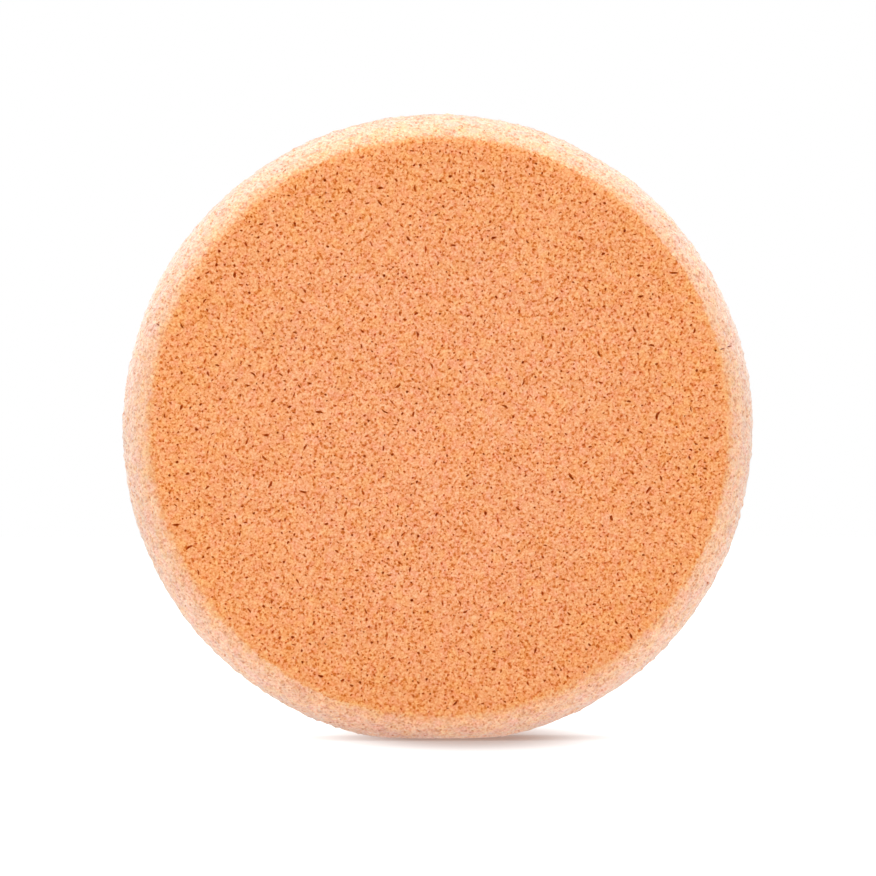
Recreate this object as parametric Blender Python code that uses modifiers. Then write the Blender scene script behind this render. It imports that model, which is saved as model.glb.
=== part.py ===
"""A round makeup sponge: one foam disc with two flat faces and a ground, convex rim.

It stands on its rim. The disc's axis lies along Y, the face that is usually seen looks along -Y, and
the origin is under the disc's centre, on the surface that it stands on. Sizes are in metres.
"""

import math

import bpy

# Driving sizes of the foam body
DIAMETER = 0.060  # across the rim's outermost line
THICKNESS = 0.012  # from face to face
RIM_INSET = 0.0027  # how far the edge of each face lies in from the outermost line
EDGE_ROUND = 0.0005  # width of the softened corner between a face and the rim
FOOT_DEPTH = 0.0005  # how far the soft rim gives where it stands

# How finely the round body is divided
TURN_STEPS = 96
RIM_STEPS = 16
EDGE_STEPS = 3

FOAM_COLOUR = (0.896, 0.366, 0.162, 1.0)
FOAM_ROUGHNESS = 0.92

OUTER_RADIUS = DIAMETER / 2
HALF_THICKNESS = THICKNESS / 2
FACE_RADIUS = OUTER_RADIUS - RIM_INSET
CENTRE_HEIGHT = OUTER_RADIUS - FOOT_DEPTH

# The rim is one arc through both face edges and the outermost line between them
RIM_ARC_RADIUS = (HALF_THICKNESS**2 + RIM_INSET**2) / (2 * RIM_INSET)
RIM_ARC_CENTRE = OUTER_RADIUS - RIM_ARC_RADIUS


def clear_scene():
    for obj in list(bpy.data.objects):
        bpy.data.objects.remove(obj)


def new_collection(name):
    collection = bpy.data.collections.new(name)
    bpy.context.scene.collection.children.link(collection)
    return collection


def foam_material():
    """Open-cell foam: peach through and through, and quite matt."""
    material = bpy.data.materials.new("peach_foam")
    material.use_nodes = True
    shader = material.node_tree.nodes["Principled BSDF"]
    shader.inputs["Base Color"].default_value = FOAM_COLOUR
    shader.inputs["Roughness"].default_value = FOAM_ROUGHNESS
    shader.inputs["Metallic"].default_value = 0.0
    return material


def body_profile():
    """Points (radius, height) from the middle of one face over the rim to the middle of the other."""
    points = [(0.0, HALF_THICKNESS)]
    edge_angle = math.atan2(HALF_THICKNESS, FACE_RADIUS - RIM_ARC_CENTRE)
    for step in range(RIM_STEPS + 1):
        angle = edge_angle * (1 - 2 * step / RIM_STEPS)
        radius = RIM_ARC_CENTRE + RIM_ARC_RADIUS * math.cos(angle)
        points.append((radius, RIM_ARC_RADIUS * math.sin(angle)))
    points.append((0.0, -HALF_THICKNESS))
    return points


def turned_body(collection):
    """The disc, turned about its own Z and then laid over so that its axis lies along Y."""
    profile = body_profile()
    mesh = bpy.data.meshes.new("foam_body")
    vertices = [(radius, 0.0, height) for radius, height in profile]
    edges = [(i, i + 1) for i in range(len(profile) - 1)]
    mesh.from_pydata(vertices, edges, [])
    body = bpy.data.objects.new("foam_body", mesh)
    collection.objects.link(body)

    turn = body.modifiers.new("turn", "SCREW")
    turn.axis = "Z"
    turn.steps = TURN_STEPS
    turn.render_steps = TURN_STEPS
    turn.use_merge_vertices = True
    turn.merge_threshold = 0.00001
    turn.use_smooth_shade = True

    # Only the corner between face and rim is sharper than this angle
    corner = body.modifiers.new("soft_edge", "BEVEL")
    corner.limit_method = "ANGLE"
    corner.angle_limit = math.radians(20)
    corner.width = EDGE_ROUND
    corner.segments = EDGE_STEPS

    body.rotation_euler = (math.radians(90), 0.0, 0.0)
    body.location = (0.0, 0.0, CENTRE_HEIGHT)
    body.data.materials.append(foam_material())
    return body


def foot_cutter(collection):
    """A block under the ground line. What it takes off the rim leaves the flat that the disc stands on."""
    depth = 2 * FOOT_DEPTH
    bpy.ops.mesh.primitive_cube_add(size=1, location=(0.0, 0.0, -depth / 2))
    cutter = bpy.context.object
    cutter.name = "foot_cutter"
    cutter.scale = (DIAMETER, 2 * THICKNESS, depth)
    bpy.ops.object.transform_apply(location=False, rotation=False, scale=True)
    cutter.hide_render = True
    cutter.display_type = "WIRE"
    for owner in list(cutter.users_collection):
        owner.objects.unlink(cutter)
    collection.objects.link(cutter)
    return cutter


def flatten_foot(body, cutter):
    cut = body.modifiers.new("foot_flat", "BOOLEAN")
    cut.operation = "DIFFERENCE"
    cut.solver = "EXACT"
    cut.object = cutter


def main():
    clear_scene()
    parts = new_collection("makeup_sponge")
    helpers = new_collection("cutters")
    body = turned_body(parts)
    flatten_foot(body, foot_cutter(helpers))


main()
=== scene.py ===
# %% [markdown]
# # A round makeup sponge
# The object is one disc of peach foam, 60 mm across and 12 mm thick, that stands on its rim. It has no
# seam, cover or core, so everything that makes it look real is in its surface: two flat cut faces full of
# fine pores, and a convex rim that was ground and has a paler, velvety nap.
#
# The lesson makes that surface as one closed mesh with real pits for the larger pores, and leaves the
# finer ones to the material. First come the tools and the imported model, which gives every size.

import itertools
import math
import random
from dataclasses import dataclass

import bpy
import numpy as np
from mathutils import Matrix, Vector, noise
from mathutils.geometry import delaunay_2d_cdt


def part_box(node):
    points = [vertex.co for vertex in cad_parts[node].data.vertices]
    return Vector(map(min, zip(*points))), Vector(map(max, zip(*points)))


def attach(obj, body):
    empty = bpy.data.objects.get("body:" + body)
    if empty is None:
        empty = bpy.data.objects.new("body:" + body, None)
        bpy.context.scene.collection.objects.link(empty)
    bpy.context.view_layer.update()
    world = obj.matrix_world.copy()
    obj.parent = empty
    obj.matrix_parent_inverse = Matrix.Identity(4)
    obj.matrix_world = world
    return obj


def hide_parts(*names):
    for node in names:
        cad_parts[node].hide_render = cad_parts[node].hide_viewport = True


MM = 0.001
FLATNESS = 0.01 * MM

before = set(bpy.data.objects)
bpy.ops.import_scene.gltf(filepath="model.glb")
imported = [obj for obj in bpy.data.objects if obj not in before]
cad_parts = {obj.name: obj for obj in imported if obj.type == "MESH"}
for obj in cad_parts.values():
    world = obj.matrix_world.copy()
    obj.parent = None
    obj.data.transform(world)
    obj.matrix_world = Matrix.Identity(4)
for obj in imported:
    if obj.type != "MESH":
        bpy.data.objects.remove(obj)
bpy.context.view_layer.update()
low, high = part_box("foam_body")

OUTER_RADIUS = (high.x - low.x) / 2
HALF_THICKNESS = (high.y - low.y) / 2
CENTRE = Vector((0, 0, high.z - OUTER_RADIUS))


def flat_face_radius(body):
    """How far the flat front face of the solid reaches from the disc's axis."""
    front = [v.co for v in body.data.vertices if v.co.y < low.y + FLATNESS]
    return max(math.hypot(p.x, p.z - CENTRE.z) for p in front)


solid_face_radius = flat_face_radius(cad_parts["foam_body"])
print(f"disc {2000 * OUTER_RADIUS:.1f} mm across, {2000 * HALF_THICKNESS:.1f} mm thick")
print(f"flat face of the solid {2000 * solid_face_radius:.1f} mm across")

# %% [markdown]
# ## The camera
# The photograph looks at the disc almost square-on, from about its own height and a little from the left,
# with a long lens. The lens comes from two numbers: how many pixels one millimetre of the disc takes in
# the 876-pixel picture, and how far away the camera stands.

# %% Camera
IMAGE_WIDTH = 876
PIXELS_PER_MM = 10.487
CAMERA_DISTANCE = 0.400
CAMERA_TURN = math.radians(-2.0)
CAMERA_RISE = math.radians(-1.0)
AIM_BELOW_CENTRE = 0.94 * MM
SENSOR_WIDTH = 36.0  # in millimetres, as the lens is
NEAREST_SEEN = 0.01
FARTHEST_SEEN = 20.0


def make_camera():
    data = bpy.data.cameras.new("camera")
    data.sensor_width = SENSOR_WIDTH
    view_width = IMAGE_WIDTH / PIXELS_PER_MM * MM
    data.lens = data.sensor_width * CAMERA_DISTANCE / view_width
    data.clip_start = NEAREST_SEEN
    data.clip_end = FARTHEST_SEEN
    camera = bpy.data.objects.new("camera", data)
    bpy.context.scene.collection.objects.link(camera)
    aim = CENTRE - Vector((0, 0, AIM_BELOW_CENTRE))
    back = Vector((
        math.sin(CAMERA_TURN) * math.cos(CAMERA_RISE),
        -math.cos(CAMERA_TURN) * math.cos(CAMERA_RISE),
        math.sin(CAMERA_RISE),
    ))
    camera.location = aim + back * CAMERA_DISTANCE
    camera.rotation_euler = (-back).to_track_quat("-Z", "Y").to_euler()
    bpy.context.scene.camera = camera
    return camera


camera = make_camera()
print(f"lens {camera.data.lens:.0f} mm, camera {1000 * camera.location.z:.0f} mm above the floor")

# %% [markdown]
# ## The profile of the rim
# A grinding wheel leaves the rim as one shallow arc from face to face, with a small round where it meets
# each face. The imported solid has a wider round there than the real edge, which is crisp, so the flat face
# goes on a little further here. A Screw modifier could turn such a profile, but each point of the rim also
# has to be found by its distance along the surface, so that pores keep their size on it. A function of
# that distance does both jobs.

# %% Rim profile
CRISPER_EDGE = 0.32 * MM
CORNER_RADIUS = 0.25 * MM

FACE_RADIUS = solid_face_radius + CRISPER_EDGE

rim_inset = OUTER_RADIUS - FACE_RADIUS
inner_half = HALF_THICKNESS - CORNER_RADIUS
ARC_RADIUS = (rim_inset**2 + inner_half**2 - CORNER_RADIUS**2) / (2 * (rim_inset - CORNER_RADIUS))
ARC_CENTRE = OUTER_RADIUS - ARC_RADIUS
ARC_ANGLE = math.atan2(inner_half, FACE_RADIUS - ARC_CENTRE)
CORNER_LENGTH = CORNER_RADIUS * (math.pi / 2 - ARC_ANGLE)
RIM_WIDTH = 2 * (CORNER_LENGTH + ARC_RADIUS * ARC_ANGLE)


def rim_profile(distance):
    """Radius, height and slope angle at a distance along the rim, from the front face over to the back."""
    behind = distance > RIM_WIDTH / 2
    distance = min(distance, RIM_WIDTH - distance)
    if distance < CORNER_LENGTH:
        slope = math.pi / 2 - distance / CORNER_RADIUS
        radius = FACE_RADIUS + CORNER_RADIUS * math.cos(slope)
        height = inner_half + CORNER_RADIUS * math.sin(slope)
    else:
        slope = ARC_ANGLE - (distance - CORNER_LENGTH) / ARC_RADIUS
        radius = ARC_CENTRE + ARC_RADIUS * math.cos(slope)
        height = ARC_RADIUS * math.sin(slope)
    return (radius, -height, -slope) if behind else (radius, height, slope)


print(f"flat face {2000 * FACE_RADIUS:.1f} mm across")
print(f"rim arc radius {1000 * ARC_RADIUS:.2f} mm, surface width {1000 * RIM_WIDTH:.2f} mm")

# %% [markdown]
# ## The pores
# Cut foam shows the cells that the knife opened. Most are small uneven dots. About a quarter are wider and
# deeper, and where the knife grazed a cell wall they are short bent strokes. They lie at random, often two
# or three in a chain with a thin wall between, but they don't run into each other. So pores are thrown at
# the surface one by one, the largest first, one that would come too near an earlier one is thrown again,
# and each one placed may draw a small one after it.
#
# All pores are laid out on flat patches, in millimetres: a disc for each face, and the rim unrolled into a
# strip.

# %% One pore
CORNER_JITTER = 0.22


@dataclass
class Pore:
    """A pit with an uneven, bent mouth. Lengths are in millimetres on the flat patch."""

    turn: float
    length: float
    width: float
    bend: float
    depth: float
    shade: float
    corners: list  # how far out each corner of the mouth lies, about 1
    rounded: bool  # a ring of points half way down gives the pit a floor
    x: float = 0.0
    y: float = 0.0


print(f"a mouth wanders in and out by up to {CORNER_JITTER:.0%} of its size")


# %% Kinds of pore
@dataclass
class PoreKind:
    """What the pores of one kind are drawn from. Lengths are in millimetres."""

    width: float  # of the middle one
    spread: float  # of the widths, as a share
    narrowest: float
    widest: float
    stretch: float  # how much longer than wide they are on average, as a share of the width
    most_stretch: float
    corners: int
    bend: float
    depth: tuple  # least and most, as a share of the width
    shade: tuple
    rounded: bool


SMALL_PORE = PoreKind(width=0.205, spread=0.20, narrowest=0.14, widest=0.29, stretch=0.45, most_stretch=2.0,
                      corners=6, bend=0.3, depth=(0.4, 0.8), shade=(0.40, 0.95), rounded=False)
WIDE_PORE = PoreKind(width=0.20, spread=0.20, narrowest=0.15, widest=0.30, stretch=0.7, most_stretch=2.4,
                     corners=8, bend=0.3, depth=(0.6, 1.0), shade=(0.80, 1.0), rounded=True)

# On the rim the grinding has closed most pores, and the rest are shallow
RIM_PORE = PoreKind(width=0.21, spread=0.25, narrowest=0.14, widest=0.34, stretch=0.5, most_stretch=1.6,
                    corners=6, bend=0.2, depth=(0.25, 0.45), shade=(0.12, 0.55), rounded=False)

print(f"width in mm: small {SMALL_PORE.width}, wide {WIDE_PORE.width}, on the rim {RIM_PORE.width}")

# %% Draw a pore
LONG_PORE = 0.5
CORNERS_IF_LONG = 2


def limited(value, lowest, highest):
    return min(max(value, lowest), highest)


def draw_pore(rng, kind):
    """One pore of this kind, not placed yet."""
    width = limited(rng.lognormvariate(math.log(kind.width), kind.spread), kind.narrowest, kind.widest)
    length = width * (1 + min(rng.expovariate(1 / kind.stretch), kind.most_stretch))
    count = kind.corners
    if kind.rounded and length >= LONG_PORE:
        count += CORNERS_IF_LONG
    corners = [1 + rng.uniform(-CORNER_JITTER, CORNER_JITTER) for _ in range(count)]
    turn = rng.uniform(0, math.pi)
    bend = rng.uniform(-kind.bend, kind.bend)
    depth = width * rng.uniform(*kind.depth)
    shade = rng.uniform(*kind.shade)
    return Pore(turn, length, width, bend, depth, shade, corners, kind.rounded)


def pore_loop(pore, share):
    """Points round the pore, at this share of its size."""
    cosine, sine = math.cos(pore.turn), math.sin(pore.turn)
    points = []
    for k, out in enumerate(pore.corners):
        angle = 2 * math.pi * k / len(pore.corners)
        along = share * out * pore.length / 2 * math.cos(angle)
        across = share * out * pore.width / 2 * math.sin(angle)
        across += pore.bend * along * along / (pore.length / 2)
        points.append((pore.x + along * cosine - across * sine, pore.y + along * sine + across * cosine))
    return points


print(f"a wide pore has {WIDE_PORE.corners} corners, {CORNERS_IF_LONG} more from {LONG_PORE} mm of length up")

# %% [markdown]
# Throwing a pore again and again is slow if each try looks at all the others. A coarse grid keeps it quick:
# each square of the grid knows the pores in it, so a try looks only at the squares round about.

# %% Scatter the pores
SQUARE = 0.8
SQUARES_ROUND = 2
LAND_GAP = 0.09
WALL_GAP = 0.045
CHAIN_GAP = 1.2 * WALL_GAP
CHAIN_SHARE = 0.30
CHAIN_TURN = 0.6
TRIES = 25


def reach(pore):
    """The radius of a circle that holds the pore."""
    return pore.length / 2 * (1 + CORNER_JITTER)


def square_of(x, y):
    return int(x // SQUARE), int(y // SQUARE)


def near(grid, x, y):
    column, row = square_of(x, y)
    for i in range(column - SQUARES_ROUND, column + SQUARES_ROUND + 1):
        for j in range(row - SQUARES_ROUND, row + SQUARES_ROUND + 1):
            yield from grid.get((i, j), ())


def is_free(grid, x, y, room):
    return all(math.hypot(p.x - x, p.y - y) > room + reach(p) for p in near(grid, x, y))


def put(grid, placed, pore, x, y):
    pore.x, pore.y = x, y
    placed.append(pore)
    grid.setdefault(square_of(x, y), []).append(pore)


def draw_chain(rng, kind, grid, placed, inside):
    """Small pores that follow the one placed last, each with a thin wall before it."""
    heading = placed[-1].turn
    while rng.random() < CHAIN_SHARE:
        last, pore = placed[-1], draw_pore(rng, kind)
        heading += rng.uniform(-CHAIN_TURN, CHAIN_TURN)
        step = reach(last) + reach(pore) + CHAIN_GAP
        x, y = last.x + step * math.cos(heading), last.y + step * math.sin(heading)
        if not inside(x, y, reach(pore)) or not is_free(grid, x, y, reach(pore) + WALL_GAP):
            return
        put(grid, placed, pore, x, y)


def scatter_pores(rng, count, wide_share, kind, spread, inside, fixed):
    """About this many pores, a share of them wide and the rest of this kind. spread is the patch's box, and
    inside says whether a circle fits in the patch."""
    grid, placed = {}, []
    for pore in fixed:
        put(grid, placed, pore, pore.x, pore.y)
    wide = [draw_pore(rng, WIDE_PORE) for _ in range(round(count * wide_share))]
    wide.sort(key=lambda pore: -pore.length)
    for pore in itertools.chain(wide, (draw_pore(rng, kind) for _ in range(count))):
        if len(placed) >= count:
            break
        for _ in range(TRIES):
            x, y = rng.uniform(*spread[0]), rng.uniform(*spread[1])
            if inside(x, y, reach(pore)) and is_free(grid, x, y, reach(pore) + LAND_GAP):
                put(grid, placed, pore, x, y)
                draw_chain(rng, kind, grid, placed, inside)
                break
    return placed, grid


print(f"walls between pores are at least {WALL_GAP} mm thick in a chain and {LAND_GAP} mm elsewhere")

# %% [markdown]
# ## From pores to a patch of mesh
# Between the pores the foam is nearly flat, so it needs few triangles there, and many at the mouths. A
# regular grid can't do that. A constrained Delaunay triangulation can: it takes the mouths as edges that
# it has to keep, adds loose points for the land between them, and says which triangles lie inside a mouth.
# Those are thrown away and each mouth gets a pit instead: walls down to one bottom point, in the wider ones
# by way of a narrower ring.

# %% Triangulate a patch
PIT_RING_SIZE = 0.64
PIT_RING_DEPTH = 0.75
CUT_PRECISION = 1e-5
WHOLE_PATCH = 0  # the kind of result that has a triangle everywhere, inside the mouths too


@dataclass
class Patch:
    """Flat points, how deep each lies, how dark its pit's painted shade is, and the triangles between them.
    """

    points: list
    depths: list
    shades: list
    triangles: list


def turned_list(items):
    """The same ring of items, starting with the second."""
    return items[1:] + items[:1]


def make_patch(border, pores, land):
    points = list(border)
    mouths = []
    for pore in pores:
        first = len(points)
        points += pore_loop(pore, 1.0)
        mouths.append(list(range(first, len(points))))
    points += land
    corners = [Vector(p) for p in points]
    result = delaunay_2d_cdt(corners, [], mouths, WHOLE_PATCH, CUT_PRECISION)
    placed, _, triangles, _, _, owners = result
    if len(placed) != len(points):
        raise RuntimeError("pore mouths cross each other or the border")
    kept = [tuple(t) for t, owner in zip(triangles, owners) if not owner]
    depths = [0.0] * len(points)
    shades = [0.0] * len(points)
    for pore, edge in zip(pores, mouths):
        if pore.rounded:
            ring = list(range(len(points), len(points) + len(edge)))
            points += pore_loop(pore, PIT_RING_SIZE)
            depths += [pore.depth * PIT_RING_DEPTH] * len(ring)
            shades += [pore.shade * PIT_RING_DEPTH] * len(ring)
            for a, b, c, d in zip(edge, turned_list(edge), ring, turned_list(ring)):
                kept += [(a, b, c), (b, d, c)]
            edge = ring
        bottom = len(points)
        points.append((pore.x, pore.y))
        depths.append(pore.depth)
        shades.append(pore.shade)
        kept += [(a, b, bottom) for a, b in zip(edge, turned_list(edge))]
    return Patch(points, depths, shades, kept)


print(f"a wide pit has a ring {PIT_RING_SIZE} of its width, {PIT_RING_DEPTH} of the way down")

# %% [markdown]
# ## The three patches
# The front disc, the back disc and the rim strip share their border points, which is what makes the mesh
# closed: the strip's long sides have one point for each point of the discs' edges, and its two short ends
# are the same line. Land points lie on a jittered grid, clear of the pores.

# %% Lay out a face
EDGE_POINTS = 480
BORDER_GAP = 0.12
FACE_PORE_DENSITY = 1.60  # pores on a square millimetre
FACE_WIDE_SHARE = 0.23
FACE_LAND_STEP = 1.6
LAND_JITTER = 0.3
LAND_FROM_BORDER = 0.15
LAND_FROM_PORE = 0.10

face_mm = FACE_RADIUS / MM


def land_points(rng, grid, step, columns, rows, inside):
    """A jittered grid of loose points that keeps off the pores and the border."""
    points = []
    for i in range(columns[0], columns[1]):
        for j in range(rows[0], rows[1]):
            x = (i + 0.5 + rng.uniform(-LAND_JITTER, LAND_JITTER)) * step
            y = (j + 0.5 + rng.uniform(-LAND_JITTER, LAND_JITTER)) * step
            if inside(x, y, LAND_FROM_BORDER) and is_free(grid, x, y, LAND_FROM_PORE):
                points.append((x, y))
    return points


def face_patch(rng, fixed=()):
    border = []
    for k in range(EDGE_POINTS):
        angle = 2 * math.pi * k / EDGE_POINTS
        border.append((face_mm * math.cos(angle), face_mm * math.sin(angle)))

    def inside(x, y, room):
        return math.hypot(x, y) < face_mm - room - BORDER_GAP

    count = round(math.pi * face_mm**2 * FACE_PORE_DENSITY)
    spread = ((-face_mm, face_mm), (-face_mm, face_mm))
    pores, grid = scatter_pores(rng, count, FACE_WIDE_SHARE, SMALL_PORE, spread, inside, fixed)
    half = math.ceil(face_mm / FACE_LAND_STEP)
    land = land_points(rng, grid, FACE_LAND_STEP, (-half, half), (-half, half), inside)
    return make_patch(border, pores, land), len(pores)


print(f"each face has room for about {math.pi * face_mm**2 * FACE_PORE_DENSITY:.0f} pores")

# %% Lay out the rim
SEAM_POINTS = 33
RIM_PORE_DENSITY = 0.62
RIM_WIDE_SHARE = 0.04
RIM_LAND_STEP = 0.46

rim_mm = RIM_WIDTH / MM
round_mm = 2 * math.pi * OUTER_RADIUS / MM


def rim_border():
    """Points round the unrolled strip, anticlockwise from the front face's edge."""
    front = [(round_mm * k / EDGE_POINTS, 0.0) for k in range(EDGE_POINTS + 1)]
    back = [(x, rim_mm) for x, _ in reversed(front)]
    heights = [rim_mm * k / (SEAM_POINTS + 1) for k in range(1, SEAM_POINTS + 1)]
    right = [(round_mm, y) for y in heights]
    left = [(0.0, y) for y in reversed(heights)]
    return front + right + back + left


def rim_patch(rng, fixed):
    def inside(x, y, room):
        margin = BORDER_GAP + room
        return margin < x < round_mm - margin and margin < y < rim_mm - margin

    count = round(round_mm * rim_mm * RIM_PORE_DENSITY)
    spread = ((0, round_mm), (0, rim_mm))
    pores, grid = scatter_pores(rng, count, RIM_WIDE_SHARE, RIM_PORE, spread, inside, fixed)
    columns = (0, math.ceil(round_mm / RIM_LAND_STEP))
    rows = (0, math.ceil(rim_mm / RIM_LAND_STEP))
    land = land_points(rng, grid, RIM_LAND_STEP, columns, rows, inside)
    return make_patch(rim_border(), pores, land), len(pores)


print(f"the strip is {round_mm:.0f} mm long and {rim_mm:.1f} mm wide")

# %% [markdown]
# The sponge has one small tear, across the right edge. It starts as a hole at the very edge of the face and
# goes on over the rim as two short cuts in one line. These three pits are given one by one, before the
# others.

# %% The tear, and all three patches
TEAR_ANGLE = math.radians(15.6)
SEED = 11


def tear_start():
    radius = face_mm - 0.17
    return Pore(turn=TEAR_ANGLE, length=0.26, width=0.24, bend=0.0, depth=0.30, shade=1.0, corners=[1] * 8,
                rounded=True, x=radius * math.cos(TEAR_ANGLE), y=radius * math.sin(TEAR_ANGLE))


def edge_tear():
    along = TEAR_ANGLE * OUTER_RADIUS / MM
    inner = Pore(turn=math.radians(86), length=0.80, width=0.14, bend=0.05, depth=0.14, shade=0.95,
                 corners=[1] * 10, rounded=True, x=along, y=0.74)
    outer = Pore(turn=math.radians(94), length=0.95, width=0.18, bend=-0.08, depth=0.18, shade=0.95,
                 corners=[1] * 10, rounded=True, x=along + 0.05, y=2.05)
    return [inner, outer]


rng = random.Random(SEED)
front_patch, front_count = face_patch(rng, [tear_start()])
back_patch, back_count = face_patch(rng)
strip_patch, rim_count = rim_patch(rng, edge_tear())
print(f"pores: {front_count} in front, {back_count} behind, {rim_count} on the rim")

# %% [markdown]
# ## Bending the patches into the disc
# Each flat point goes to its place on the disc, pushed in along the surface's normal by its depth. The
# same soft noise then moves every point a little, on all patches alike, so that the faces are not dead
# flat, the edge wavers as a hand-fed cut does, and the borders still meet.
#
# Last, the foot: the foam gives where it stands. A smooth lower limit on the height squeezes the lowest
# half millimetre flat and leaves the rest as it was.

# %% Place the points
WAVER = 0.10 * MM
WAVER_SIZE = 7.0 * MM
CRUMB = 0.19 * MM
CRUMB_SIZE = 0.56 * MM
CRUMB_ON_FACE = 0.15  # the knife leaves the faces smoother than the rim
CRUMB_FADE = 1.0 * MM
FOOT_SOFTNESS = 0.40 * MM

noise.seed_set(SEED)  # or noise_vector would differ from run to run


def on_face(side):
    """Maps a face patch. side is -1 for the front and 1 for the back."""
    normal = Vector((0, side, 0))

    def place(x, y, depth):
        surface = CENTRE + Vector((x * MM, side * HALF_THICKNESS, y * MM))
        return surface, normal, depth * MM

    return place


def on_rim(x, y, depth):
    angle = x * MM / OUTER_RADIUS
    radius, height, slope = rim_profile(y * MM)
    outward = Vector((math.cos(angle), 0, math.sin(angle)))
    normal = outward * math.cos(slope) + Vector((0, -math.sin(slope), 0))
    surface = CENTRE + outward * radius + Vector((0, -height, 0))
    return surface, normal, depth * MM


def given_way(z):
    """A smooth lower limit: 0 far below the floor, z itself far above it."""
    return (z + math.sqrt(z * z + FOOT_SOFTNESS**2)) / 2


lowest_left = given_way(CENTRE.z - OUTER_RADIUS)


def settle(z):
    """The height after the foam has given on the floor."""
    return max(given_way(z) - lowest_left, 0.0)


def roughened(surface, normal, depth):
    waver = noise.noise_vector(surface / WAVER_SIZE) * WAVER
    radius = math.hypot(surface.x, surface.z - CENTRE.z)
    on_the_rim = limited((radius - FACE_RADIUS) / CRUMB_FADE, 0, 1)
    share = CRUMB_ON_FACE + (1 - CRUMB_ON_FACE) * on_the_rim
    crumb = noise.noise(surface / CRUMB_SIZE) * CRUMB * share
    point = surface + waver + normal * (crumb - depth)
    return point.x, point.y, settle(point.z)


print(f"the foot gives by {1000 * (OUTER_RADIUS - CENTRE.z):.2f} mm")

# %% [markdown]
# ## One closed mesh
# The mesh also needs a flat map for textures, so that the finish can be baked for other programs. The
# patches are flat already, which gives a map with no stretch: the two discs lie on the diagonal of the
# square, and the strip is cut into six pieces that fill the two free corners.

# %% The flat map
DISC_MAP_RADIUS = 0.287
STRIP_PARTS = 6
STRIP_ROOM = 0.405
STRIP_GAP = 0.010
DISC_MARGIN = 0.006
FIRST_STRIP_CORNER = 0.008
LAST_STRIP_CORNER = 1 - STRIP_ROOM + 0.004
STRIP_ROWS = STRIP_PARTS // 2

disc_scale = DISC_MAP_RADIUS / face_mm
part_mm = round_mm / STRIP_PARTS
strip_scale = (STRIP_ROOM / STRIP_ROWS - STRIP_GAP) / rim_mm


def face_map(centre_u, centre_v, mirror):
    def to_map(x, y, _part):
        return centre_u + mirror * x * disc_scale, centre_v + y * disc_scale

    return to_map


def rim_map(x, y, part):
    corner = FIRST_STRIP_CORNER if part < STRIP_ROWS else LAST_STRIP_CORNER
    row = part % STRIP_ROWS
    u = corner + STRIP_GAP + (x - part * part_mm) * strip_scale
    v = corner + STRIP_GAP / 2 + row * STRIP_ROOM / STRIP_ROWS + y * strip_scale
    return u, v


print(f"on the map a millimetre of face is {disc_scale:.4f} wide and one of rim {strip_scale:.4f}")


# %% Join the patches
class Assembly:
    """Collects the patches' points and triangles into one mesh with shared borders."""

    def __init__(self):
        self.vertices = []
        self.shades = []
        self.triangles = []
        self.map = []
        self.finishes = []

    def add(self, patch, place, shared, to_map, flip, finish):
        """shared gives the mesh's number for a border point that is there already."""
        numbers = []
        for i, (x, y) in enumerate(patch.points):
            if i in shared:
                numbers.append(shared[i])
                continue
            numbers.append(len(self.vertices))
            self.vertices.append(roughened(*place(x, y, patch.depths[i])))
            self.shades.append(patch.shades[i])
        for triangle in patch.triangles:
            corners = triangle[::-1] if flip else triangle
            middle = sum(patch.points[i][0] for i in corners) / 3
            part = min(int(middle / part_mm), STRIP_PARTS - 1)
            self.triangles.append([numbers[i] for i in corners])
            self.map += [to_map(*patch.points[i], part) for i in corners]
        self.finishes += [finish] * len(patch.triangles)
        return numbers


def rim_sharing(front_numbers, back_numbers):
    """Border points of the strip that the discs have, by place in the strip's border."""
    shared = {}
    back_first = EDGE_POINTS + 1 + SEAM_POINTS
    for k in range(EDGE_POINTS + 1):
        shared[k] = front_numbers[k % EDGE_POINTS]
        shared[back_first + k] = back_numbers[(EDGE_POINTS - k) % EDGE_POINTS]
    return shared


def join_seam(assembly, numbers):
    """The strip's left end is the same line as its right end."""
    right_first = EDGE_POINTS + 1
    left_first = 2 * (EDGE_POINTS + 1) + SEAM_POINTS
    same = {}
    for k in range(SEAM_POINTS):
        same[numbers[left_first + k]] = numbers[right_first + SEAM_POINTS - 1 - k]
    assembly.triangles = [[same.get(i, i) for i in t] for t in assembly.triangles]
    return set(same)


def without_points(assembly, dropped):
    """Vertices, shades and triangles after the unused points are taken out."""
    keep = [i for i in range(len(assembly.vertices)) if i not in dropped]
    renumber = {old: new for new, old in enumerate(keep)}
    vertices = [assembly.vertices[i] for i in keep]
    shades = [assembly.shades[i] for i in keep]
    triangles = [[renumber[i] for i in t] for t in assembly.triangles]
    return vertices, shades, triangles


FACE_FINISH, RIM_FINISH = 0, 1


def joined_patches():
    """The assembly of all three patches, and its vertices, shades and triangles."""
    assembly = Assembly()
    low_corner = DISC_MAP_RADIUS + DISC_MARGIN
    high_corner = 1 - DISC_MAP_RADIUS - DISC_MARGIN
    front_map = face_map(low_corner, high_corner, 1)
    back_map = face_map(high_corner, low_corner, -1)
    front = assembly.add(front_patch, on_face(-1), {}, front_map, False, FACE_FINISH)
    back = assembly.add(back_patch, on_face(1), {}, back_map, True, FACE_FINISH)
    strip = assembly.add(strip_patch, on_rim, rim_sharing(front, back), rim_map, True, RIM_FINISH)
    dropped = join_seam(assembly, strip)
    return assembly, without_points(assembly, dropped)


assembly, (vertices, shades, triangles) = joined_patches()
print(f"joined: {len(vertices)} points, {len(triangles)} triangles")

# %% Build the mesh
SHARP_ANGLE = math.radians(38)


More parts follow.
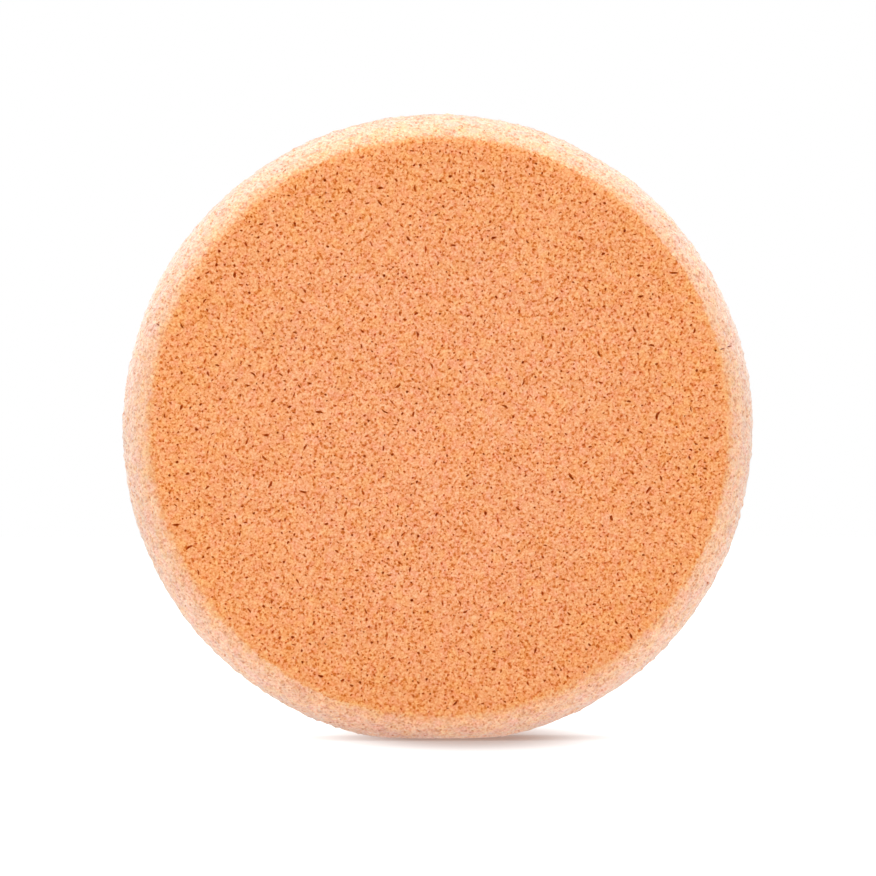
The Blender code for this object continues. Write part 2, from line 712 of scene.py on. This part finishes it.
def build_foam():
    mesh = bpy.data.meshes.new("sponge_foam")
    mesh.from_pydata(vertices, [], triangles)
    layer = mesh.uv_layers.new(name="OFBake")
    layer.data.foreach_set("uv", np.array(assembly.map, np.float32).ravel())
    pit = mesh.attributes.new("pit", "FLOAT", "POINT")
    pit.data.foreach_set("value", np.array(shades, np.float32))
    mesh.polygons.foreach_set("material_index", assembly.finishes)
    mesh.shade_smooth()
    mesh.set_sharp_from_angle(angle=SHARP_ANGLE)
    foam = bpy.data.objects.new("sponge_foam", mesh)
    bpy.context.scene.collection.objects.link(foam)
    return foam


foam = build_foam()


def open_edges(mesh):
    """How many edges don't join exactly two triangles. A closed mesh has none."""
    ends = np.empty(len(mesh.loops), np.int64)
    mesh.loops.foreach_get("edge_index", ends)
    return int((np.bincount(ends, minlength=len(mesh.edges)) != 2).sum())


print(f"foam: {len(foam.data.polygons)} triangles, {open_edges(foam.data)} open edges")

# %% [markdown]
# ## Small helpers for materials
# A material is a tree of nodes. These helpers keep each step of it on one line: one makes a node and sets
# or links its inputs, the others are short names for the kinds used most.

# %% Node helpers
def srgb(red, green, blue):
    """A colour as a paint program shows it, from 0 to 255, in the linear values that Blender uses."""
    def linear(value):
        value /= 255
        return value / 12.92 if value <= 0.04045 else ((value + 0.055) / 1.055) ** 2.4

    return linear(red), linear(green), linear(blue), 1.0


def add(tree, kind, inputs=(), **settings):
    """A new node. inputs gives a value or a socket for each input that it names or numbers."""
    node = tree.nodes.new(kind)
    for name, value in settings.items():
        setattr(node, name, value)
    for name, value in dict(inputs).items():
        if isinstance(value, bpy.types.NodeSocket):
            tree.links.new(value, node.inputs[name])
        else:
            node.inputs[name].default_value = value
    return node


def calc(tree, operation, *values):
    node = add(tree, "ShaderNodeMath", dict(enumerate(values)), operation=operation)
    return node.outputs[0]


def vector_calc(tree, operation, *values):
    node = add(tree, "ShaderNodeVectorMath", dict(enumerate(values)), operation=operation)
    return node.outputs[0]


def ramp_between(tree, value, start, end):
    """0 at start and 1 at end, with a smooth step between them."""
    inputs = {"Value": value, "From Min": start, "From Max": end}
    node = add(tree, "ShaderNodeMapRange", inputs, interpolation_type="SMOOTHSTEP")
    return node.outputs[0]


def mix_colour(tree, share, first, second, blend="MIX"):
    node = add(tree, "ShaderNodeMix", {0: share, 6: first, 7: second}, data_type="RGBA", blend_type=blend)
    return node.outputs[2]


def noise_value(tree, position, size, detail=2.0):
    """Soft noise with lumps of this size, from 0 to 1. More detail adds finer lumps to them."""
    inputs = {"Vector": position, "Scale": 1 / size, "Detail": detail}
    return add(tree, "ShaderNodeTexNoise", inputs).outputs[0]


print(f"half-way grey, 128 of 255, is {srgb(128, 128, 128)[0]:.3f} in linear values")


# %% [markdown]
# ## A node group for the fine pores
# The finest cells are one or two tenths of a millimetre wide, too many to model. A Voronoi texture scatters
# centres through space, and gives each point its distance to the nearest. Where the surface passes close by
# a centre it cuts out a dot, small or large as chance has it, which is just how a knife opens the cells of a
# foam. The dot's dark colour is painted shade, the dark inside a hole too small to model. A little noise in
# the position makes the dots uneven, and the random value that each centre carries makes some of them darker.
# The group also gives a soft tone, painted light and shade for the cell walls that catch more or less light.
# Noise has a hidden grid, and a flat face that lies along it would show rows, so the group turns the position
# to a slant first.

# %% Fine pore group
SLANT = (0.6, 0.9, 0.4)
STIR_SCALE = 2.0  # lumps of the noise that stirs the dots, for each spacing
DOT_WOBBLE = 0.45
DISORDER = 0.8  # 0 would set the dots in rows
DOT_FLOOR = 0.35  # where a dot is full dark, as a share of its size
FAINTEST_DOT = 0.25
TONE_SIZE = 0.45  # as a share of the spacing
NOISE_MIDDLE = 0.5


def new_group(name, inputs, outputs):
    """An empty node group with these sockets, as (name, kind) pairs."""
    group = bpy.data.node_groups.new(name, "ShaderNodeTree")
    for in_out, sockets in (("INPUT", inputs), ("OUTPUT", outputs)):
        for label, kind in sockets:
            group.interface.new_socket(name=label, in_out=in_out, socket_type=kind)
    return group, group.nodes.new("NodeGroupInput"), group.nodes.new("NodeGroupOutput")


def fine_pore_group():
    group, given, result = new_group(
        "fine_foam_pores",
        [("Position", "NodeSocketVector"), ("Spacing", "NodeSocketFloat"), ("Dot Size", "NodeSocketFloat")],
        [("Hollow", "NodeSocketFloat"), ("Tone", "NodeSocketFloat")],
    )
    slanted = add(group, "ShaderNodeVectorRotate", {"Vector": given.outputs["Position"], "Rotation": SLANT},
                  rotation_type="EULER_XYZ").outputs[0]
    at = vector_calc(group, "DIVIDE", slanted, given.outputs["Spacing"])
    stir = add(group, "ShaderNodeTexNoise", {"Vector": at, "Scale": STIR_SCALE, "Detail": 1.0}).outputs[1]
    stir = vector_calc(group, "SUBTRACT", stir, (NOISE_MIDDLE,) * 3)
    stirred = vector_calc(group, "MULTIPLY_ADD", stir, (DOT_WOBBLE,) * 3, at)
    cells = add(group, "ShaderNodeTexVoronoi", {"Vector": stirred, "Scale": 1.0, "Randomness": DISORDER},
                feature="F1")
    size = given.outputs["Dot Size"]
    # The dot: painted shade where a hole is too small to model
    dot = ramp_between(group, cells.outputs["Distance"], size, calc(group, "MULTIPLY", size, DOT_FLOOR))
    chance = add(group, "ShaderNodeSeparateColor", {0: cells.outputs["Color"]}).outputs[0]
    dark = calc(group, "MULTIPLY_ADD", chance, 1 - FAINTEST_DOT, FAINTEST_DOT)
    group.links.new(calc(group, "MULTIPLY", dot, dark), result.inputs["Hollow"])
    group.links.new(noise_value(group, at, TONE_SIZE, detail=1.0), result.inputs["Tone"])
    return group


fine_pores = fine_pore_group()


def grain(tree, position, spacing, dot_size):
    """The dots and the tone of the fine pores. dot_size is a share of the spacing."""
    node = add(tree, "ShaderNodeGroup", node_tree=fine_pores)
    tree.links.new(position, node.inputs["Position"])
    node.inputs["Spacing"].default_value = spacing
    node.inputs["Dot Size"].default_value = dot_size
    return node.outputs["Hollow"], node.outputs["Tone"]


print(f"group {fine_pores.name}: {len(fine_pores.nodes)} nodes")

# %% [markdown]
# ## The foam's colours
# The plain foam between pores is peach. Light that enters a pore bounces about inside, and each bounce
# takes more blue and green than red, so pores look orange-brown and never black: a ramp of colours paints
# that shade. On the ground rim the surface is a fine nap of torn cell walls, and its pores look shallow. It
# gets a ramp of its own, paler and pinker: partly the nap's own colour, as it scatters more light, and partly
# painted light from the bright room round it.

# %% Tone ramps
PLAIN_FOAM = 0.14  # the place of plain foam on the ramps: below it lie the lighter cell walls
# Towards 1 the ramps hold the painted shade inside pits and pores, towards 0 painted light on cell walls
FACE_TONES = [(0.0, srgb(251, 195, 150)), (PLAIN_FOAM, srgb(243, 169, 120)), (0.35, srgb(232, 144, 86)),
              (0.6, srgb(208, 112, 47)), (1.0, srgb(163, 62, 2))]
# The rim's paler tones are partly its own colour and partly painted light
RIM_TONES = [(0.0, srgb(254, 219, 190)), (PLAIN_FOAM, srgb(251, 203, 171)), (0.35, srgb(240, 182, 147)),
             (0.6, srgb(220, 152, 115)), (1.0, srgb(166, 82, 42))]


def tone_ramp(tree, mark, tones):
    """A colour for each depth of mark, from the lightest walls at 0 to the deepest pore at 1."""
    node = add(tree, "ShaderNodeValToRGB", {0: mark})
    elements = node.color_ramp.elements
    elements[0].position, elements[0].color = tones[0]
    elements[1].position, elements[1].color = tones[-1]
    for place, colour in tones[1:-1]:
        elements.new(place).color = colour
    return node.outputs[0]


print(f"{len(FACE_TONES)} tones for the face, {len(RIM_TONES)} for the rim")

# %% [markdown]
# ## The border between face and rim
# The rim's paler colour starts where the corner ends. A mesh edge would give a clean line there, as on
# moulded plastic, but in foam the line runs from cell to cell. So the border is a mask, worked out from the
# distance to the disc's axis: a fine noise moves it in and out, and a very slow one makes it crisp on one
# stretch of the rim and soft on the next.

# %% Border mask
COLOUR_EDGE = FACE_RADIUS + CORNER_RADIUS
BORDER_GRAIN = 0.6 * MM
BORDER_WANDER = 1.2 * MM
SOFT_STRETCH = 14 * MM
SOFT_FROM = 0.35
SOFT_TO = 0.70
CRISP_BLUR = 0.14 * MM
SOFT_BLUR = 0.45 * MM  # more than the crisp one


def swing(tree, value, factor):
    """How far a noise value lies above or below the middle, times the factor."""
    return calc(tree, "MULTIPLY", calc(tree, "SUBTRACT", value, NOISE_MIDDLE), factor)


def border_masks(group, position):
    """The distance from the axis, the same with a grainy wander, and how much of the ground rim shows."""
    flat = vector_calc(group, "MULTIPLY", vector_calc(group, "SUBTRACT", position, CENTRE), (1, 0, 1))
    radius = add(group, "ShaderNodeVectorMath", {0: flat}, operation="LENGTH").outputs["Value"]
    wander = swing(group, noise_value(group, position, BORDER_GRAIN), BORDER_WANDER)
    ragged = calc(group, "ADD", radius, wander)
    soft = ramp_between(group, noise_value(group, position, SOFT_STRETCH, detail=0.0), SOFT_FROM, SOFT_TO)
    blur = calc(group, "ADD", CRISP_BLUR, calc(group, "MULTIPLY", soft, SOFT_BLUR))
    start = calc(group, "SUBTRACT", COLOUR_EDGE, blur)
    end = calc(group, "ADD", COLOUR_EDGE, blur)
    return radius, ragged, ramp_between(group, ragged, start, end)


print(f"the colour changes {1000 * COLOUR_EDGE:.2f} mm from the axis")

# %% [markdown]
# ## The marks
# Everything darker than plain foam is a mark: the pits of the mesh, two sizes of fine pores, faint strokes
# that join them, and on the rim the dots and blotches where the nap is thin. The marks of the pits and pores
# are painted shade, the dark inside them. Each is a mask times its strength, and the strongest one wins,
# because a pore inside a blotch isn't darker than a pore alone.
#
# Foam rises while it sets, and its cells end up longer that way, which here is from face to face. The
# faces are cut across the cells and show round dots. On the rim the same cells lie lengthwise.

# %% Marks
CELL_SHAPE = (1.0, 0.5, 1.0)  # cells are twice as long from face to face

COARSE_SPACING = 0.56 * MM
COARSE_DOT = 0.37
COARSE_MARK = 0.54
SMALL_SPACING = 0.36 * MM
SMALL_DOT = 0.34
SMALL_MARK = 0.32
STROKE_FROM = 0.43
STROKE_TO = 0.27
STROKE_MARK = 0.33
PORES_LEFT = 0.62  # how much of the fine pores the grinding leaves

NAP_SPACING = 0.42 * MM
NAP_DOT = 0.42
NAP_MARK = 0.54
BLOTCH_SIZE = 0.40 * MM
BLOTCH_FROM = 0.44
BLOTCH_TO = 0.30
BLOTCH_MARK = 0.34

# Painted shade in the pits of the mesh, dark at the bottom and fading up the walls
PIT_POWER = 0.75  # under 1, so that the upper part of a pit's wall is fairly dark too
PIT_SHADE = 0.83


def strongest(tree, *marks):
    """The strongest of these (mask, strength) pairs at each point."""
    scaled = [calc(tree, "MULTIPLY", mask, strength) for mask, strength in marks]
    result = scaled[0]
    for mark in scaled[1:]:
        result = calc(tree, "MAXIMUM", result, mark)
    return result


def foam_marks(group, cells_at, ground, pit):
    """The marks of all kinds, the painted shade of pits and pores among them, the fine pores alone,
    and the soft tones of the cell walls.
    """
    coarse_dots, coarse_tone = grain(group, cells_at, COARSE_SPACING, COARSE_DOT)
    small_dots, small_tone = grain(group, cells_at, SMALL_SPACING, SMALL_DOT)
    nap_dots, nap_tone = grain(group, cells_at, NAP_SPACING, NAP_DOT)
    strokes = ramp_between(group, coarse_tone, STROKE_FROM, STROKE_TO)
    fine = strongest(group, (coarse_dots, COARSE_MARK), (strokes, STROKE_MARK), (small_dots, SMALL_MARK))
    fine = calc(group, "MULTIPLY", fine, calc(group, "MULTIPLY_ADD", ground, PORES_LEFT - 1, 1.0))
    thin = noise_value(group, cells_at, BLOTCH_SIZE, detail=1.0)
    blotches = ramp_between(group, thin, BLOTCH_FROM, BLOTCH_TO)
    nap = strongest(group, (nap_dots, NAP_MARK), (blotches, BLOTCH_MARK))
    # Painted shade in the pits
    pit_shade = calc(group, "POWER", pit, PIT_POWER)
    marks = strongest(group, (fine, 1.0), (nap, ground), (pit_shade, PIT_SHADE))
    return marks, fine, (coarse_tone, small_tone, nap_tone)


print(f"fine pores about every {1000 * COARSE_SPACING:.2f} and {1000 * SMALL_SPACING:.2f} mm")

# %% [markdown]
# ## Tints
# The two ramps are joined at the border. A few tints go over them, each by a mask: the face is a little
# warmer towards its edge, and just outside the border the rim gets painted shade, a little darker and warmer,
# so that it pales outwards. Faint drifts of warmer and pinker foam and a slow change from lighter to darker
# cover both, since no batch of foam is quite even, and the rim has soft lumps of painted light and shade.

# %% Tints
WARM_START = 12 * MM
OUTER_TINT = (1.0, 0.985, 0.87, 1.0)
EDGE_BAND = 1.1 * MM
EDGE_TINT = (1.0, 1.03, 0.98, 1.0)
# Painted shade on the rim just outside the border: darker and warmer, so the rim pales outwards
INNER_START = 0.5 * MM
INNER_END = 1.5 * MM
INNER_SHADE_TINT = (1.0, 0.94, 0.82, 1.0)

WARM_SIZE = 1.3 * MM
WARM_FROM = 0.48
WARM_TO = 0.66
WARM_TINT = (1.0, 0.995, 0.88, 1.0)
PINK_SIZE = 1.0 * MM
PINK_FROM = 0.52
PINK_TO = 0.34
PINK_TINT = (1.0, 0.95, 1.05, 1.0)
SLOW_SIZE = 2.4 * MM
SLOW_SHADE = 0.08
# Painted light and shade of soft lumps on the rim
LUMP_SIZE = 0.75 * MM
LUMP_SHADE = 0.42


def tinted(group, share, colour, tint):
    return mix_colour(group, share, colour, tint, "MULTIPLY")


def face_and_rim(group, radius, ragged, ground, tone):
    """The colours of both surfaces, joined at the ragged border."""
    near_edge = ramp_between(group, ragged, COLOUR_EDGE - EDGE_BAND, COLOUR_EDGE)
    face = tinted(group, near_edge, tone_ramp(group, tone, FACE_TONES), EDGE_TINT)
    outward = ramp_between(group, radius, WARM_START, FACE_RADIUS)
    face = tinted(group, outward, face, OUTER_TINT)
    # Painted shade on the inner rim
    inner = ramp_between(group, ragged, COLOUR_EDGE + INNER_END, COLOUR_EDGE + INNER_START)
    rim = tinted(group, inner, tone_ramp(group, tone, RIM_TONES), INNER_SHADE_TINT)
    return mix_colour(group, ground, face, rim)


def drifted(group, position, cells_at, ground, colour):
    """The same colour with the faint drifts, and the painted light and shade of the lumps, over it."""
    warm = ramp_between(group, noise_value(group, position, WARM_SIZE, detail=1.0), WARM_FROM, WARM_TO)
    pink = ramp_between(group, noise_value(group, position, PINK_SIZE, detail=1.0), PINK_FROM, PINK_TO)
    colour = tinted(group, warm, colour, WARM_TINT)
    colour = tinted(group, pink, colour, PINK_TINT)
    slow = swing(group, noise_value(group, position, SLOW_SIZE), SLOW_SHADE)
    lumps = swing(group, noise_value(group, cells_at, LUMP_SIZE, detail=3.0), LUMP_SHADE)
    light = calc(group, "ADD", 1.0, calc(group, "MULTIPLY_ADD", lumps, ground, slow))
    level = add(group, "ShaderNodeCombineColor", {0: light, 1: light, 2: light}).outputs[0]
    return tinted(group, 1.0, colour, level)


print(f"the face grows warmer from {1000 * WARM_START:.0f} mm outwards")

# %% [markdown]
# ## One group for the whole surface
# Both finishes need the same border, marks and tints, or they wouldn't meet. So one node group works them
# out, and each finish places it with its own height of nap. The cell walls between the marks catch more
# light or less, and the soft tones of the fine pore groups paint that as light and shade in the colour.

# %% Foam surface group
COARSE_DRIFT = 0.50
SMALL_DRIFT = 0.60
NAP_DRIFT = 0.25


def foam_surface_group():
    group, given, result = new_group(
        "foam_surface",
        [("Position", "NodeSocketVector"), ("Pit", "NodeSocketFloat"), ("Nap", "NodeSocketFloat")],
        [("Colour", "NodeSocketColor"), ("Height", "NodeSocketFloat")],
    )
    position = given.outputs["Position"]
    cells_at = vector_calc(group, "MULTIPLY", position, CELL_SHAPE)
    radius, ragged, ground = border_masks(group, position)
    marks, fine, tones = foam_marks(group, cells_at, ground, given.outputs["Pit"])
    coarse_tone, small_tone, nap_tone = tones
    # Painted light and shade of the cell walls, from the soft tones
    wall_light_and_shade = calc(group, "ADD", swing(group, coarse_tone, COARSE_DRIFT), swing(group, small_tone, SMALL_DRIFT))
    wall_light_and_shade = calc(group, "ADD", wall_light_and_shade, swing(group, nap_tone, NAP_DRIFT))
    tone = calc(group, "SUBTRACT", calc(group, "ADD", marks, PLAIN_FOAM), wall_light_and_shade)
    colour = face_and_rim(group, radius, ragged, ground, tone)
    group.links.new(drifted(group, position, cells_at, ground, colour), result.inputs["Colour"])

    # Height: hollows go in, the nap stands up
    nap = calc(group, "MULTIPLY", calc(group, "ADD", nap_tone, coarse_tone), given.outputs["Nap"])
    group.links.new(calc(group, "SUBTRACT", nap, fine), result.inputs["Height"])
    return group


foam_surface = foam_surface_group()
print(f"group {foam_surface.name}: {len(foam_surface.nodes)} nodes")

# %% [markdown]
# ## Two finishes of one foam
# The cut faces and the ground rim share those colours, and differ in how they take the light. Both are
# quite matt, and both let a little light in and out again, so that the pores' own shade stays soft and warm.
# The nap on the rim also has a sheen, as velvet has: seen at a flat angle, the fine fibres scatter light
# towards the viewer.

# %% Foam materials
FOAM_ROUGHNESS = 0.92
FOAM_GLOSS = 0.08
LIGHT_LET_IN = 0.30
LIGHT_REACH = 2.0 * MM
REACH_BY_COLOUR = (1.0, 0.75, 0.6)
SHEEN_ROUGHNESS = 0.4
BUMP_STRENGTH = 0.6
BUMP_HEIGHT = 0.07 * MM


def foam_material(name, nap, sheen):
    material = bpy.data.materials.new(name)
    material.use_nodes = True
    tree = material.node_tree
    tree.nodes.clear()
    surface = add(tree, "ShaderNodeGroup", node_tree=foam_surface)
    tree.links.new(add(tree, "ShaderNodeTexCoord").outputs["Object"], surface.inputs["Position"])
    pit = add(tree, "ShaderNodeAttribute", attribute_name="pit")
    tree.links.new(pit.outputs["Fac"], surface.inputs["Pit"])
    surface.inputs["Nap"].default_value = nap
    bump = add(tree, "ShaderNodeBump",
               {"Strength": BUMP_STRENGTH, "Distance": BUMP_HEIGHT, "Height": surface.outputs["Height"]})
    shader = add(tree, "ShaderNodeBsdfPrincipled", {
        "Base Color": surface.outputs["Colour"],
        "Subsurface Weight": LIGHT_LET_IN,
        "Subsurface Radius": REACH_BY_COLOUR,
        "Subsurface Scale": LIGHT_REACH,
        "Roughness": FOAM_ROUGHNESS,
        "Specular IOR Level": FOAM_GLOSS,
        "Sheen Weight": sheen,
        "Sheen Roughness": SHEEN_ROUGHNESS,
        "Normal": bump.outputs[0],
    })
    add(tree, "ShaderNodeOutputMaterial", {"Surface": shader.outputs[0]})
    return material


cut_face = foam_material("cut_foam_face", nap=0.3, sheen=0.0)
ground_rim = foam_material("ground_foam_rim", nap=2.5, sheen=0.8)
for finish in (cut_face, ground_rim):
    foam.data.materials.append(finish)
    print(f"material {finish.name}: {len(finish.node_tree.nodes)} nodes")

# %% [markdown]
# ## The floor
# The photograph has a pure white floor and background, and a soft short shadow where the sponge stands. A
# lit table could be a plane with a lamp under it. Here Light Path tells who looks at one plain plane. The
# foam sees a pale floor with a faint glow of its own, as a lit table has, which keeps the underside of the
# rim from going dark. The camera sees a greyer floor, where the shadow shows, and a glow that is dim and
# warm at the sponge and rises to full white a few centimetres off, which paints a warm shadow round the
# foot. No more light falls on the foam for that.

# %% Floor
FLOOR_SIZE = 6.0
FLOOR_COLOUR = (0.60, 0.60, 0.61, 1.0)  # as the light meets it
TABLE_GLOW = (0.46, 0.46, 0.46, 1.0)
SEEN_COLOUR = (0.34, 0.34, 0.34, 1.0)  # as the camera sees it, before the glow
# Painted shadow: near the sponge the camera sees only this dim, warm glow
PAINTED_SHADOW_GLOW = (0.235, 0.165, 0.145, 1.0)
WHITE = (1.0, 1.0, 1.0, 1.0)
SHADE_CENTRE = (2.5 * MM, 2.0 * MM, 0.0)
SHADE_SHAPE = (2.2, 1.0, 1.0)
SHADE_START = 8 * MM
SHADE_REACH = 40 * MM


def seen_ray(tree):
    """1 where the camera looks, straight or by way of something shiny or clear, and 0 for other light."""
    path = add(tree, "ShaderNodeLightPath")
    by_way = calc(tree, "MAXIMUM", path.outputs["Is Glossy Ray"], path.outputs["Is Transmission Ray"])
    return calc(tree, "MAXIMUM", path.outputs["Is Camera Ray"], by_way)


def floor_material():
    material = bpy.data.materials.new("white_floor")
    material.use_nodes = True
    tree = material.node_tree
    tree.nodes.clear()
    seen = seen_ray(tree)
    position = add(tree, "ShaderNodeTexCoord").outputs["Object"]
    shape = vector_calc(tree, "MULTIPLY", vector_calc(tree, "SUBTRACT", position, SHADE_CENTRE), SHADE_SHAPE)
    away = add(tree, "ShaderNodeVectorMath", {0: shape}, operation="LENGTH").outputs["Value"]
    # Painted shadow: the glow stays dim near the foot and grows white further off
    out_of_painted_shadow = ramp_between(tree, away, SHADE_START, SHADE_REACH)
    glow = mix_colour(tree, seen, TABLE_GLOW, mix_colour(tree, out_of_painted_shadow, PAINTED_SHADOW_GLOW, WHITE))
    paper = add(tree, "ShaderNodeBsdfDiffuse", {"Color": mix_colour(tree, seen, FLOOR_COLOUR, SEEN_COLOUR)})
    shine = add(tree, "ShaderNodeEmission", {"Color": glow})
    both = add(tree, "ShaderNodeAddShader", {0: paper.outputs[0], 1: shine.outputs[0]})
    add(tree, "ShaderNodeOutputMaterial", {"Surface": both.outputs[0]})
    return material


def make_floor():
    bpy.ops.mesh.primitive_plane_add(size=FLOOR_SIZE, location=(0, 0, 0))
    floor = bpy.context.object
    floor.name = "floor"
    floor.data.materials.append(floor_material())
    return floor


floor = make_floor()
print(f"{floor.name}: {floor.dimensions.x:.0f} m wide, white from {1000 * SHADE_REACH:.0f} mm away")

# %% [markdown]
# ## The room
# The world does the same for the background. The camera sees plain white. The foam sees a soft room that is
# brighter behind it and to its right than in front, which gives the rim its light. A photograph of a studio
# wrapped round the scene could do it too, but a few numbers are easier to set right.

# %% World
CEILING_STRENGTH = 0.5
FRONT_STRENGTH = 0.3
BACK_STRENGTH = 1.0
WALL_FADE = 2.0  # how fast a wall gives way to the ceiling
BRIGHT_SIDE = (0.50, 0.87, 0.0)
BRIGHT_FROM = -0.6
BRIGHT_TO = 0.3


def make_world():
    world = bpy.data.worlds.new("white_room")
    world.use_nodes = True
    tree = world.node_tree
    tree.nodes.clear()
    direction = add(tree, "ShaderNodeTexCoord").outputs["Generated"]
    axes = add(tree, "ShaderNodeSeparateXYZ", {0: direction})
    level = calc(tree, "SUBTRACT", 1.0, calc(tree, "MAXIMUM", axes.outputs["Z"], 0.0))
    wall = calc(tree, "POWER", level, WALL_FADE)
    towards = add(tree, "ShaderNodeVectorMath", {0: direction, 1: BRIGHT_SIDE}, operation="DOT_PRODUCT")
    bright = ramp_between(tree, towards.outputs["Value"], BRIGHT_FROM, BRIGHT_TO)
    walls = calc(tree, "MULTIPLY_ADD", bright, BACK_STRENGTH - FRONT_STRENGTH, FRONT_STRENGTH)
    above_ceiling = calc(tree, "SUBTRACT", walls, CEILING_STRENGTH)
    light = calc(tree, "MULTIPLY_ADD", wall, above_ceiling, CEILING_STRENGTH)
    strength = add(tree, "ShaderNodeMapRange", {"Value": seen_ray(tree), "To Min": light, "To Max": 1.0})
    background = add(tree, "ShaderNodeBackground", {"Color": WHITE, "Strength": strength.outputs[0]})
    add(tree, "ShaderNodeOutputWorld", {"Surface": background.outputs[0]})
    bpy.context.scene.world = world
    return world


world = make_world()
print(f"{world.name}: ceiling {CEILING_STRENGTH}, walls {FRONT_STRENGTH} in front and {BACK_STRENGTH} behind")

# %% [markdown]
# ## The lamps
# The room and the table give most of the light. Two large soft lamps overhead give it a direction, so that
# the upper rim is the lightest and the pores have a lit and a shaded side. The front one lights the face, and
# the other one, a little behind the disc, brings the shadow forward to where the camera sees it.

# %% Lamps
LAMP_SIZE = 0.45


def soft_lamp(name, place, watts):
    """A square area lamp that looks at the disc's middle."""
    data = bpy.data.lights.new(name, "AREA")
    data.size = LAMP_SIZE
    data.energy = watts
    lamp = bpy.data.objects.new(name, data)
    bpy.context.scene.collection.objects.link(lamp)
    lamp.location = place
    lamp.rotation_euler = (CENTRE - Vector(place)).to_track_quat("-Z", "Y").to_euler()
    print(f"{name}: {watts} W, {1000 * (CENTRE - Vector(place)).length:.0f} mm from the disc's middle")
    return lamp


soft_lamp("lamp_front", place=(-0.03, -0.25, 0.50), watts=1.3)
soft_lamp("lamp_back", place=(-0.06, 0.08, 0.52), watts=2.3)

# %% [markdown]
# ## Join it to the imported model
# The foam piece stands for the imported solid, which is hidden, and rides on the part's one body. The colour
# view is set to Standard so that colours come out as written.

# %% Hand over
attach(foam, "root")
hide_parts("foam_body")
bpy.context.scene.view_settings.view_transform = "Standard"
